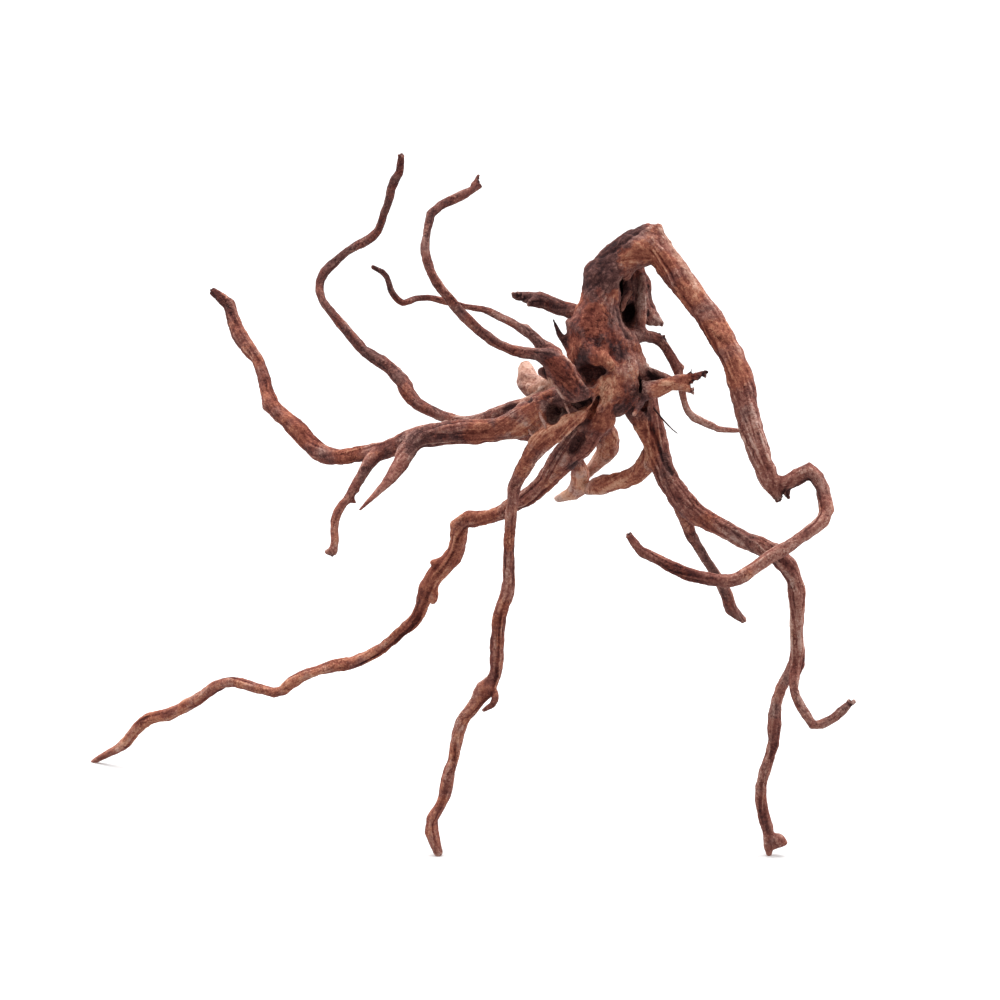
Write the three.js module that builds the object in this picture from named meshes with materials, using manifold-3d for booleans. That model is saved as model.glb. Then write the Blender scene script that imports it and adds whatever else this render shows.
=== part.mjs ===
// Spiderwood root: one dried root stock that stands on three of its root tips.
// Millimetres, +Z up, +X to the right as seen from the front, -Y towards the viewer.
// The origin is on the ground, under the middle of the piece.
import * as THREE from 'three';
import { mergeVertices } from 'three/addons/utils/BufferGeometryUtils.js';
import Module from 'manifold-3d';

// Driving dimensions.
const SPREAD = 400;               // left tip to right tip, as the front view shows them
const MIDDLE_HEIGHT = 190;        // ground to the middle of the front view
const VIEW_DISTANCE = 1600;       // viewer's eye to the crown
const VIEW_ELEVATION = THREE.MathUtils.degToRad(10);  // how far the viewer looks down
const FOOT_TRIM = 0.8;            // worn off each foot where it stands on the ground

// The front view is a square of 1000 units, and the routes are traced in it.
const VIEW_MIDDLE = 500;
const LEFT_TIP_ACROSS = 93;
const RIGHT_TIP_ACROSS = 853;
const UNIT = SPREAD / (RIGHT_TIP_ACROSS - LEFT_TIP_ACROSS);

// How finely a root is drawn out.
const SLIM_WIDTH = 20;            // mean width, in view units, below which a root is slim
const SLIM_SIDES = 6;
const STOUT_SIDES = 9;
const RING_SPACING = 1.9;         // in mean radii
const CLOSEST_RINGS = 3.6;
const FURTHEST_RINGS = 8;
const TIP_ROUNDING = 0.76;        // the last ring, as a share of the root's radius
const TIP_LENGTH = 0.5;           // how far the tip stands beyond it, as a share of the root's radius
const FLUTE_DEPTH = 0.09;         // how far the section swells and sinks round its girth
const FLUTE_TURN = 26;            // length along the root over which the flutes wind on by a radian
const GOLDEN_ANGLE = Math.PI * (3 - Math.sqrt(5));

// How large a length looks at a place nearer to or further from the viewer than the crown.
const shrink = (towards) => (VIEW_DISTANCE - towards) / VIEW_DISTANCE;

// A place in the front view, and its depth towards the viewer, as a point over the ground.
function place(across, down, towards) {
  const right = (across - VIEW_MIDDLE) * UNIT * shrink(towards);
  const up = (VIEW_MIDDLE - down) * UNIT * shrink(towards);
  return new THREE.Vector3(
    right,
    up * Math.sin(VIEW_ELEVATION) - towards * Math.cos(VIEW_ELEVATION),
    MIDDLE_HEIGHT + up * Math.cos(VIEW_ELEVATION) + towards * Math.sin(VIEW_ELEVATION),
  );
}

// The depth of a foot's tip, before it wore flat, on the sight line through a row of the front view.
function foot(down) {
  const drop = (down - VIEW_MIDDLE) * UNIT * Math.cos(VIEW_ELEVATION);
  return (drop - MIDDLE_HEIGHT - FOOT_TRIM) / (Math.sin(VIEW_ELEVATION) + drop / VIEW_DISTANCE);
}

// Routes: across, down, depth towards the viewer in millimetres, and how wide the wood looks.
// Each starts inside the wood that it grows from and ends at its own tip.
const ROUTES = {
  // The crown: the bent neck, the strands behind it and the knuckles on its face.
  neck: [
    [662, 253, 3, 30], [649, 248.5, 2, 38], [633, 248.5, 1, 41], [618, 264, 0, 37], [603, 280, 1, 42],
    [600.5, 300, 2, 38], [597, 320, 3, 48], [598, 341, 3, 63], [604, 362, 2, 68], [612, 384, 2, 68],
    [616, 401, 0, 46], [619, 417, 0, 28],
  ],
  backStrand: [
    [620, 260, -10, 28], [624, 285, -16, 30], [624, 310, -17, 32], [618, 335, -15, 42],
    [612, 365, -18, 52], [606, 392, -18, 50], [600, 412, -20, 34],
  ],
  flake: [
    [638, 252, -7, 22], [632, 272, -12, 20], [644.5, 292, -15, 22], [641.5, 304, -15, 20],
    [646, 316, -14, 22], [652, 322, -12, 18], [657, 324, -12, 13], [663, 324.5, -12, 6],
  ],
  flakeStub: [
    [620, 337, -2, 22], [640, 336, -6, 15], [652, 335.5, -8, 11], [660, 336, -9, 8], [665.5, 337, -9, 5],
  ],
  brow: [[580, 342, 10, 24], [590, 354, 17, 20], [604, 358, 20, 18], [614, 368, 20, 20]],
  knuckle: [[604, 377, 13, 16], [606, 386, 15.5, 23], [604.5, 398, 15.5, 23], [597, 410, 13, 18]],

  // The limb bends over at the top of the neck, hangs to a broken end and curls back under itself.
  limb: [
    [642, 248, 0, 34], [655, 247, 3, 32], [666, 259, 6, 30], [680.5, 279, 10, 28],
    [695.5, 298, 14, 26], [708, 316, 17, 24], [719, 332.5, 20, 23.5], [728.5, 350, 22, 23],
    [737.5, 371, 24, 24.5], [742.5, 388, 26, 23.5], [745.5, 405, 28, 22], [749.5, 421, 30, 22],
    [754.5, 437, 32, 22.5], [759, 453, 33, 22.5], [765, 469, 35, 22], [771.5, 482, 36, 21],
    [777, 493, 36, 16], [781, 503, 36, 7],
  ],
  limbEnd: [[646, 252, 2, 34], [646, 240, 2, 36], [647, 231, 3, 30], [648, 222.5, 3, 20]],
  limbLump: [[744, 386, 26, 16], [752, 386, 26, 10], [757, 386, 26, 4]],
  limbSplinter: [[784, 486, 36, 10], [787, 492, 37, 8], [787.5, 500, 37, 5]],
  curl: [
    [768, 479, 36, 14], [785, 483.5, 38, 16], [790, 481.5, 39, 15.5], [797, 476.5, 40, 15],
    [804, 472, 41, 16.5], [811, 470.5, 42, 17.5], [817, 477, 44, 15], [822, 485, 45, 13],
    [824.5, 495, 46, 13], [826.5, 506, 48, 14], [826, 515, 50, 13], [820, 523, 52, 12.5],
    [810, 531, 54, 13], [800, 538, 56, 13], [790, 545, 57, 13], [780, 551.5, 58, 13], [770, 557, 59, 13],
    [761, 563, 60, 12.5], [752, 570, 61, 13], [743, 577, 62, 12.5], [733, 581, 62, 12],
    [722, 581, 62, 11.5], [710, 579, 61, 11], [698, 576.5, 60, 11.5], [686, 573, 59, 11.5],
    [674, 567.5, 58, 11.5], [662, 561.5, 57, 11], [650, 555.5, 56, 11], [640, 551, 55, 10],
    [634.5, 545, 54, 10], [630.5, 539, 54, 10], [627.5, 533, 54, 8],
  ],

  // The right leg, its fork and the spurs that leave it.
  rightLeg: [
    [625, 376, -4, 40], [637, 395, -6, 38], [645, 416, -8, 30], [651, 430, -9, 25], [655.5, 443, -9, 22],
    [659, 456, -8, 21], [663, 470, -6, 19.5], [670.5, 484, -3, 19.5], [680.5, 498, 0, 20.5],
    [691.5, 510.5, 4, 21], [705, 519, 7, 18.5], [718, 525.5, 9, 17.5], [731, 533, 11, 17.5],
    [744, 540.5, 12, 18], [757, 546, 12, 18], [770, 551, 12, 19], [780, 557, 12, 19],
    [788, 566, 11, 17.5], [793, 576, 10, 16], [796, 588, 9, 16], [797.5, 600, 7, 16.5],
    [797.5, 612, 5, 16], [797, 625, 3, 14.5], [797, 640, 0, 14.5], [798, 656, -2, 16], [795, 667, -4, 14],
    [785.5, 679, -6, 10.5], [780, 690, -7, 10], [776.5, 700, -8, 10.5], [774.5, 712, -9, 11.5],
    [774, 725, -10, 12], [773.5, 740, -12, 11], [771, 750, -13, 10.5], [767.5, 762, -14, 10],
    [763.5, 775, -15, 10.5], [760.5, 787, -16, 10.5], [761, 800, -17, 10.5], [763, 812, -18, 10.5],
    [766, 822, -19, 10.5], [769, 832, -20, 12], [770, 843, -20, 13], [769, 857, foot(857), 7],
  ],
  rightToe: [[771, 834, -20, 13], [777, 841.5, -19, 15], [782, 844, -18, 9], [788, 842.5, -17, 3.5]],
  rightTwig: [
    [797.5, 650, -1, 13], [797.5, 664, -1, 13], [794.5, 676, 2, 10.5], [793.5, 686, 5, 9],
    [796, 697, 8, 8.5], [801, 706, 9, 8.5], [807, 716, 11, 8.5], [814, 725.5, 13, 9], [825, 722.5, 15, 8],
    [836.5, 716, 17, 8.5], [846, 706.5, 19, 8], [854, 700, 20, 5],
  ],
  backSpur: [
    [676, 494, -4, 14], [684, 512, -8, 15], [687.5, 524, -11, 12.5], [691, 534, -14, 11],
    [696, 543, -17, 9], [701.5, 552, -20, 8.5], [707, 561, -23, 9], [713, 570, -26, 9],
    [719, 580, -29, 9.5], [725, 590, -31, 11], [728.5, 602, -35, 11.5], [732.5, 611, -38, 11.5],
    [738.5, 618, -40, 10.5], [745.5, 621.5, -41, 6],
  ],
  underRoot: [
    [653, 436, -9, 16], [651, 457, -12, 20], [641, 471, -20, 18], [625, 479.5, -27, 17],
    [610, 483, -34, 17], [597, 485, -40, 19], [588, 488, -43, 17], [582, 491, -45, 10],
  ],

  // The front leg, from the face of the crown to the ground.
  frontLeg: [
    [604, 398, 12, 32], [590, 404, 15, 22], [575, 414, 18, 21], [561, 425, 20, 25], [549, 435, 20, 26],
    [539, 445, 19, 22], [530, 458, 17, 17], [522, 470, 14, 16], [516, 481, 12, 14], [513, 491, 11, 13],
    [512.5, 502, 10, 11.5], [511, 515, 9, 12], [510, 530, 7, 12], [509, 545, 6, 12], [509, 560, 4, 11.5],
    [509, 574, 3, 11], [509.5, 587, 2, 12.5], [505.5, 599, 1, 12.5], [501, 611, 0, 12.5],
    [498, 624, -2, 12.5], [497, 640, -4, 12], [496.5, 656, -6, 12], [496.5, 668, -8, 11],
    [494, 679, -9, 11.5], [485, 689, -10, 18], [478, 700, -11, 13], [468, 713, -12, 12.5],
    [460.5, 725, -13, 12], [457, 738, -14, 11.5], [455, 750, -15, 11], [453, 761, -16, 10],
    [448.5, 773, -17, 11], [446.5, 785, -18, 13.5], [444.5, 795, -19, 13.5], [442, 803, -20, 11],
    [436, 812, -20, 11.5], [431.5, 822, -20, 11.5], [432.5, 834, -20, 12], [436.5, 845, -20, 12.5],
    [439.5, 857.5, foot(857.5), 10],
  ],
  frontLegBurr: [[523, 471, 14, 12], [517, 468, 16, 8], [513, 467, 16, 4]],
  frontLegHook: [
    [488, 684, -8, 12], [494, 690, -7, 8], [495, 700, -6, 7], [490, 707, -5, 6], [482, 711, -4, 4.5],
  ],

  // The long root runs back to the left and comes to the ground behind the other feet.
  longRoot: [
    [608, 402, 6, 46], [597, 420.5, 5, 30], [583, 439, 2, 28], [568.5, 453.5, -3, 28], [557, 467, -8, 23],
    [546, 481, -13, 18], [528, 497, -19, 16.5], [513, 505, -24, 15], [498, 513.5, -28, 14],
    [486, 517.5, -32, 14.5], [474, 518.5, -36, 15.5], [462.5, 519, -40, 19], [459.5, 527, -43, 18],
    [458.5, 537, -47, 17], [457, 548, -51, 17], [451, 559, -55, 18], [442, 568, -58, 18],
    [433, 579, -62, 16], [427, 590, -66, 16], [422.5, 601, -70, 12.5], [420, 611, -73, 11.5],
    [413.5, 621, -77, 12], [405.5, 628, -80, 11], [398.5, 634, -83, 11.5], [389, 642.5, -87, 11],
    [377, 651, -91, 11], [365, 658, -96, 11], [352, 663, -100, 11], [341, 664.5, -104, 12],
    [330, 667, -107, 11], [312, 673, -113, 10.5], [301, 677, -117, 11.5], [291.5, 682.5, -121, 12],
    [286.5, 688, -124, 10.5], [279, 692.5, -127, 10.5], [271, 692, -130, 10.5], [262, 689, -133, 9.5],
    [250, 686, -137, 10], [237, 682.5, -142, 11], [227, 682, -146, 12], [218.5, 685, -149, 12],
    [210, 690.5, -153, 11.5], [200, 698, -157, 12], [190, 704, -162, 12], [180, 709.5, -166, 11],
    [170, 714, -170, 11], [161, 715.5, -174, 10.5], [150.5, 718, -178, 10.5], [141, 724.5, -183, 10.5],
    [134, 732.5, -187, 11], [128, 740.5, -191, 11.5], [120, 747, -196, 9.5], [110, 752.5, -201, 7.5],
    [100.5, 757.5, -206, 7], [91, 763, foot(763), 6],
  ],
  longRootKnuckle: [[443, 567, -57, 12], [435, 563, -56, 8], [430, 562, -56, 4]],
  longRootKnot: [[428, 588, -65, 12], [433.5, 595, -64, 9.5], [433, 604, -64, 4]],

  // The stout left root forks: one arm drops to a point in front, the other swings up to the far left.
  leftRoot: [
    [600, 402, 4, 46], [575, 403, 8, 40], [552, 407, 11, 40], [530, 417, 13, 33], [510, 426, 14, 26],
    [490, 430, 14, 22.5], [470, 431.5, 14, 22.5], [450, 433, 13, 22.5], [430, 436, 12, 21],
    [417, 440, 12, 18], [409, 447, 14, 16], [404, 457, 17, 14.5], [398, 468.5, 22, 13],
    [390, 479, 27, 10.5], [381.5, 488.5, 31, 8], [373, 497, 35, 5], [366, 505, 38, 3],
    [357, 512.5, 42, 1.6],
  ],
  leftArm: [
    [452, 432, 9, 20], [430, 434, 5, 20], [412, 438, 1, 17], [397, 446, -3, 15.5], [384, 451, -6, 14.5],
    [363, 454, -11, 14.5], [350, 455.5, -14, 14.5], [333, 457, -19, 15], [322, 454, -22, 18.5],
    [313.5, 446.5, -26, 18], [303.5, 435.5, -30, 17], [289.5, 421.5, -35, 17], [275, 409.5, -40, 16.5],
    [269, 402, -43, 15.5], [267, 390, -47, 12.5], [263, 374, -51, 12], [257, 359.5, -55, 12],
    [250.5, 350.5, -58, 13], [243.5, 342, -61, 15], [238, 332, -64, 15.5], [233, 320, -67, 13],
    [228, 303, -71, 13], [220, 293.5, -73, 13.5], [208.5, 289, -75, 12],
  ],
  leftDrop: [
    [386, 452, -6, 13], [373, 457, -4, 13], [366, 468, -2, 11], [359, 480, -1, 10], [353, 490, 0, 9.5],
    [347, 500, 1, 9], [339, 509, 2, 9], [335, 520, 3, 8], [334.5, 535, 4, 8], [335, 545, 4, 9],
    [334, 550, 4, 12.5], [332, 556, 4, 10],
  ],
  leftDropLobe: [[334, 549, 4, 9], [328.5, 551.5, 5, 7.5], [324, 552, 5, 4]],
  leftDropThorn: [[353, 487, -1, 7], [357, 490, 0, 5], [360, 492, 1, 2.5]],
  leftDropBurr: [[349, 497, 0, 7], [353.5, 501.5, 0, 5], [357, 504, 1, 2.5]],

  // The high roots on the left.
  highRoot: [
    [592, 394, -10, 38], [562, 397, -16, 28], [542, 401, -21, 16], [520, 406.5, -26, 12.5],
    [504, 410, -30, 11.5], [491, 415.5, -32, 10.5], [475, 420, -36, 9.5], [460, 420.5, -40, 9.5],
    [445, 417, -44, 10], [430, 410.5, -47, 11], [417, 403, -50, 12.5], [408.5, 393.5, -53, 14],
    [404.5, 384, -55, 14], [397, 375, -58, 14.5], [388, 367, -60, 12], [377, 359, -63, 12],
    [365, 351.5, -66, 11], [357, 342.5, -69, 11], [348, 331.5, -72, 10], [339.5, 322, -75, 10],
    [331, 312, -77, 9], [324, 303, -79, 9], [319.5, 292, -82, 9.5], [320.5, 280.5, -84, 9.5],
    [324.5, 272, -84, 9], [332.5, 264, -84, 8.5], [342.5, 255, -82, 8], [352, 248, -80, 8.5],
    [362.5, 243, -78, 9.5], [371.5, 238, -75, 9], [377.5, 232, -72, 8.5], [381.5, 223, -69, 8],
    [384.5, 211, -64, 7.5], [389, 200, -60, 7.7], [391, 189, -56, 8.5], [395, 179.5, -52, 8.5],
    [400, 171, -48, 7.5], [401.5, 163, -45, 8], [401.5, 153, -42, 7],
  ],
  arm: [
    [612, 404, 4, 40], [594, 401, 12, 32], [580, 395, 20, 27], [570, 384.5, 26, 28], [562, 373, 30, 28],
    [556, 363.5, 33, 25], [547, 356, 35, 20], [536, 354, 37, 12.5], [522, 353, 38, 11.5],
    [512.5, 350.5, 39, 11], [501, 346, 41, 10], [490, 339.5, 43, 10.5], [477, 328.5, 46, 10],
    [467, 319, 48, 10], [458, 310, 50, 9.5], [451, 301, 51, 9], [443, 291.5, 51, 9], [435, 281, 50, 9],
    [430.5, 271, 49, 8.5], [426.5, 260, 48, 8.5], [425, 250, 46, 8.5], [427, 234, 43, 7.5],
    [429, 222.5, 41, 7], [431.5, 213, 39, 7.5], [439, 206.5, 37, 7.5], [448, 201.5, 35, 8.5],
    [460, 196.5, 32, 9], [470, 191, 30, 9.5], [478, 187, 28, 9], [482, 185, 27, 6],
  ],
  armProng: [[470, 189, 29, 8], [475.5, 183.5, 28, 6], [479, 174, 26, 3]],
  armSpur: [[562, 379, 27, 18], [550, 374, 28, 13], [538, 369.5, 29, 6]],
  slimRoot: [
    [562, 362, 29, 20], [549, 351, 29, 14.5], [540, 344, 28, 11.5], [533.5, 337, 27, 10.5],
    [526.5, 330.5, 26, 10.5], [519, 327, 25, 8.5], [511, 322, 24, 8], [500, 317, 22, 7.5],
    [491, 312.5, 20, 7.5], [484, 309.5, 19, 7], [474, 308, 18, 6], [465, 306.5, 17, 5.5],
    [456, 304, 17, 5.5], [445, 301.5, 18, 6], [436.5, 299, 19, 6], [427, 297.5, 20, 6],
    [416, 298.5, 22, 6], [409.5, 301, 24, 6], [403, 303, 26, 6], [396, 298, 29, 6], [391.5, 291, 31, 6],
    [389, 283, 33, 5.5], [386, 275.5, 35, 6], [380, 270.5, 38, 5.5], [371, 266, 41, 5.5],
  ],

  // Broken stubs and twigs round the crown.
  neckStub: [
    [598, 318, -2, 28], [576, 311.5, -5, 17], [560, 308, -8, 14.5], [545, 302, -10, 14.5],
    [531, 297, -12, 14], [521, 295, -13, 10], [512.5, 294.5, -14, 6],
  ],
  neckStubNub: [[541, 301, -8, 12], [533, 302, -7, 9], [527, 305, -6, 4]],
  neckSpike: [[576, 350, 5, 14], [567, 345, 6, 10], [560, 335, 7, 5], [553, 319, 8, 2.5]],
  neckBurr: [[582, 342, 4, 20], [571.5, 333, 4, 13], [567.5, 317, 4, 7]],
  paleKnob: [
    [594, 398, -14, 40], [570, 400, -22, 34], [549, 393, -33, 26], [534, 387, -42, 22],
    [526.5, 379, -49, 21], [525.5, 371, -54, 20], [526.5, 361, -56, 13],
  ],
  tornShelf: [
    [600, 396, -4, 34], [578, 394, -9, 26], [556, 388, -14, 18], [541, 386, -22, 14], [528, 391, -28, 8],
  ],
  underShelf: [
    [608, 414, -8, 34], [588, 421, -12, 32], [560, 423, -16, 34], [538, 427, -20, 32],
    [524, 433, -23, 20], [514, 438.5, -25, 8],
  ],
  backRoot: [
    [600, 406, -20, 36], [599, 425, -28, 26], [609, 440, -36, 26], [606, 452, -42, 19.5],
    [597, 462.5, -48, 14], [587, 472, -53, 13], [580, 482, -57, 11],
  ],
  paleRoot: [
    [604, 412, -10, 30], [586, 436, -18, 18], [575.5, 457, -30, 14], [580, 473, -42, 18],
    [580, 486.5, -52, 17], [569.5, 495.5, -60, 13.5], [561, 499.5, -66, 12], [555, 499, -69, 8],
  ],
  sideTwig: [
    [632, 388, 6, 18], [650, 390.5, 13, 15], [660, 388, 15, 15], [670, 384, 17.5, 13],
    [681, 380, 20, 12], [694, 379, 22, 11], [702, 376.5, 23, 10], [708, 371, 24, 6],
  ],
  sideTwigNub: [[690, 378, 21, 6], [691, 373, 21, 4], [691, 366, 22, 2.2]],
  sideTwigToe: [[670, 384, 18, 10], [681, 385.5, 21, 9.5], [689, 386.5, 22, 9.5], [694, 393, 23, 6]],
  sideRootlet: [[634, 366, 5, 14], [650, 371, 8, 8], [663, 375.5, 12, 6.5], [678, 380.5, 18, 6]],
  trailingTwig: [
    [640, 335, -9, 12], [659, 340, -10, 10], [668, 351.5, -9, 9.5], [675, 364, -8, 9.5],
    [680, 376, -7, 8], [681.5, 389, -8, 7], [684.5, 402.5, -10, 7], [690, 414.5, -12, 7.5],
    [700, 420.5, -14, 8], [711, 425.5, -16, 8], [719, 429, -18, 7], [729, 430, -20, 5.5],
    [745, 431, -22, 4.5],
  ],
  trailingTwigKnob: [[674, 364.5, -8, 8], [680, 366.5, -7, 7.5], [685, 368, -7, 4]],
  faceRootlet: [[648, 392, 10, 9], [642, 402, 17, 5.5], [633, 416, 21, 3.5]],
  limbCorner: [[653, 243, 4, 24], [656.5, 233, 4, 18], [659, 227, 4, 11], [661, 222.5, 4, 5]],
  plate: [
    [640, 268, -8, 10], [642.5, 282, -7, 9], [643, 298, -6, 9.5], [642, 316, -5.5, 11], [641.5, 334, -5, 12],
  ],
  sideWeb: [[640, 374, 0, 20], [651, 378, 4, 13], [661, 381, 10, 7]],
  flakeFoot: [[644, 304, -12, 14], [648, 317, -11, 16], [653, 326, -11, 12]],
};

// Hollows: across, down, depth, half of the width, the height and the depth in millimetres, and for
// one that leans, by how many degrees its top is turned to the right.
const HOLLOWS = {
  eye: [592.5, 371, 22, 8.6, 3.9, 17],
  eyeTip: [590.5, 378.5, 22, 4.4, 5.4, 15, 12],
  leftPit: [553.5, 414, 23, 4.4, 6.2, 14, 12],
  leftPitEnd: [573, 407, 25, 11.5, 3, 13, -18],
  lowPit: [575.5, 444.5, 8, 3.6, 8.6, 8, 35],
  legGroove: [592, 411, 16, 1.9, 11, 8, 22],
  cleftTop: [621.5, 286.5, -3, 2.2, 6.5, 18],
  cleft: [629.5, 314, -2, 4.6, 7.4, 22, 12],
  sideCleft: [639.5, 385, 14, 1.6, 5, 9, -8],
  sideCleftLow: [644, 402, 3, 2.6, 5.6, 9],
};

// A closed geometry as a solid, with the vertices along its seams merged.
function solidOf(geometry, kernel) {
  const bare = new THREE.BufferGeometry();
  bare.setAttribute('position', geometry.getAttribute('position'));
  bare.setIndex(geometry.getIndex());
  const merged = mergeVertices(bare);
  return new kernel.Manifold(new kernel.Mesh({
    numProp: 3,
    vertProperties: merged.getAttribute('position').array,
    triVerts: new Uint32Array(merged.getIndex().array),
  }));
}

// A root is a sphere drawn out along its route: its rows become rings, and its poles the two ends.
function rootGeometry(route, phase) {
  const stations = route.map(([across, down, towards]) => place(across, down, towards));
  const curve = new THREE.CatmullRomCurve3(stations);
  const radii = route.map(([, , towards, width]) => width / 2 * UNIT * shrink(towards));
  const radiusAlong = new THREE.SplineCurve(radii.map((radius, i) => new THREE.Vector2(i, radius)));
  const meanRadius = radii.reduce((sum, radius) => sum + radius, 0) / radii.length;
  const sides = meanRadius < SLIM_WIDTH / 2 * UNIT ? SLIM_SIDES : STOUT_SIDES;
  const fullness = Math.sqrt(2 * Math.PI / sides / Math.sin(2 * Math.PI / sides));
  const length = curve.getLength();
  const spacing = THREE.MathUtils.clamp(RING_SPACING * meanRadius, CLOSEST_RINGS, FURTHEST_RINGS);
  const rings = Math.max(4, Math.ceil(length / spacing));
  const frames = curve.computeFrenetFrames(rings, false);
  const geometry = new THREE.SphereGeometry(1, sides, rings);
  const position = geometry.getAttribute('position');
  const uv = geometry.getAttribute('uv');
  for (let i = 0; i < position.count; i++) {
    const row = Math.round((1 - uv.getY(i)) * rings);
    const along = row === rings - 1 ? 1 - TIP_LENGTH * radii.at(-1) / length : row / rings;
    const turn = uv.getX(i) * 2 * Math.PI;
    const wind = phase + along * length / FLUTE_TURN;
    const flute = Math.cos(2 * turn + wind) + 0.6 * Math.cos(3 * turn - 1.7 * wind);
    const share = row === 0 || row === rings ? 0 : (row === rings - 1 ? TIP_ROUNDING : 1);
    const round = radiusAlong.getPoint(curve.getUtoTmapping(along)).y * fullness;
    const radius = round * share * (1 + FLUTE_DEPTH * flute);
    const point = curve.getPointAt(along);
    point.addScaledVector(frames.normals[row], radius * Math.cos(turn));
    point.addScaledVector(frames.binormals[row], -radius * Math.sin(turn));
    position.setXYZ(i, point.x, point.y, point.z);
  }
  return geometry;
}

// A hollow is an egg turned to face the viewer.
function hollowGeometry([across, down, towards, halfWidth, halfHeight, halfDepth, lean = 0]) {
  const geometry = new THREE.SphereGeometry(1, 12, 8);
  geometry.scale(halfWidth, halfDepth, halfHeight);
  geometry.rotateY(THREE.MathUtils.degToRad(lean));
  geometry.rotateX(-VIEW_ELEVATION);
  const middle = place(across, down, towards);
  return geometry.translate(middle.x, middle.y, middle.z);
}

// Everything below the ground, which wears the feet flat.
function groundGeometry() {
  const side = 4 * SPREAD;
  return new THREE.BoxGeometry(side, side, side).translate(0, 0, -side / 2);
}

// All routes grow together into one body, which the hollows and the ground are cut from.
async function rootStock() {
  const kernel = await Module();
  kernel.setup();
  const strands = Object.values(ROUTES).map((route, i) => rootGeometry(route, i * GOLDEN_ANGLE));
  const cuts = Object.values(HOLLOWS).map(hollowGeometry);
  cuts.push(groundGeometry());
  let wood = solidOf(strands[0], kernel);
  for (const strand of strands.slice(1)) wood = wood.add(solidOf(strand, kernel));
  for (const cut of cuts) wood = wood.subtract(solidOf(cut, kernel));
  const mesh = wood.getMesh();
  const geometry = new THREE.BufferGeometry();
  geometry.setAttribute('position', new THREE.BufferAttribute(mesh.vertProperties, 3));
  geometry.setIndex(new THREE.BufferAttribute(mesh.triVerts, 1));
  geometry.computeBoundingBox();
  const middle = geometry.boundingBox.getCenter(new THREE.Vector3());
  geometry.translate(-middle.x, -middle.y, 0);
  geometry.computeVertexNormals();
  return geometry;
}

const wood = new THREE.MeshStandardMaterial({ color: 0x7a4632, roughness: 0.75, metalness: 0 });
const spiderwoodRoot = new THREE.Mesh(await rootStock(), wood);
spiderwoodRoot.name = 'spiderwood_root';

const part = new THREE.Group();
part.add(spiderwoodRoot);

export default part;
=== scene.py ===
import heapq
import math

import bmesh
import bpy
import numpy as np
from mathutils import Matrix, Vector, noise
from mathutils.bvhtree import BVHTree
from mathutils.kdtree import KDTree


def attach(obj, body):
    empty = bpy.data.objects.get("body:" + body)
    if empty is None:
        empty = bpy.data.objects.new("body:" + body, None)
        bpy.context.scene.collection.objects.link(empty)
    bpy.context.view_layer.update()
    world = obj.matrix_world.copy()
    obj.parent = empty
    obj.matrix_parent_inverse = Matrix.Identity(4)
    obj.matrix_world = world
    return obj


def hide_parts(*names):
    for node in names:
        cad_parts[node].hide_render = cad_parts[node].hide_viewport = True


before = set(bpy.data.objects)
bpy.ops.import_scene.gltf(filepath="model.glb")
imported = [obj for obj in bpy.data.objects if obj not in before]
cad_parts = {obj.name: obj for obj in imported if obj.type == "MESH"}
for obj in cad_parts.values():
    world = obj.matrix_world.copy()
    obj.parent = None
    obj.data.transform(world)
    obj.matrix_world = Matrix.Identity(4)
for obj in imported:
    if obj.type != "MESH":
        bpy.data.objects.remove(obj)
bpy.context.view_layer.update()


# The root stock
# One grown piece of dry root wood, dug up, stripped of most of its bark, washed and dried.
# Its body is the frame's own solid, cut finely and worn round, so every root stays where it stands,
# and grain, fissures, bark plates and knots are then raised on it along the way the wood grew.
MM = 0.001
FINE_STEP = 0.62 * MM   # side of the small faces that the body is cut into
TRIANGLE_LIMIT = 190000
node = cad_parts["spiderwood_root"]


def shaped(source, name, kind, **settings):
    """A new mesh: the source mesh after one modifier of this kind."""
    blank = bpy.data.objects.new(name, source)
    bpy.context.scene.collection.objects.link(blank)
    modifier = blank.modifiers.new(name, kind)
    for setting, value in settings.items():
        setattr(modifier, setting, value)
    graph = bpy.context.evaluated_depsgraph_get()
    mesh = bpy.data.meshes.new_from_object(blank.evaluated_get(graph))
    bpy.data.objects.remove(blank)
    return mesh


def largest_part(mesh):
    """The mesh without the crumbs that a fine cut leaves beside its largest part."""
    whole = bmesh.new()
    whole.from_mesh(mesh)
    left = set(whole.verts)
    parts = []
    while left:
        front = [left.pop()]
        part = list(front)
        while front:
            around = {edge.other_vert(vert) for vert in front for edge in vert.link_edges} & left
            left -= around
            front = list(around)
            part += front
        parts.append(part)
    parts.sort(key=len)
    bmesh.ops.delete(whole, geom=[vert for part in parts[:-1] for vert in part], context="VERTS")
    whole.to_mesh(mesh)
    whole.free()
    return mesh


AVERAGING = 0.75                  # the square of the steps by which one averaging spreads values


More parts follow.
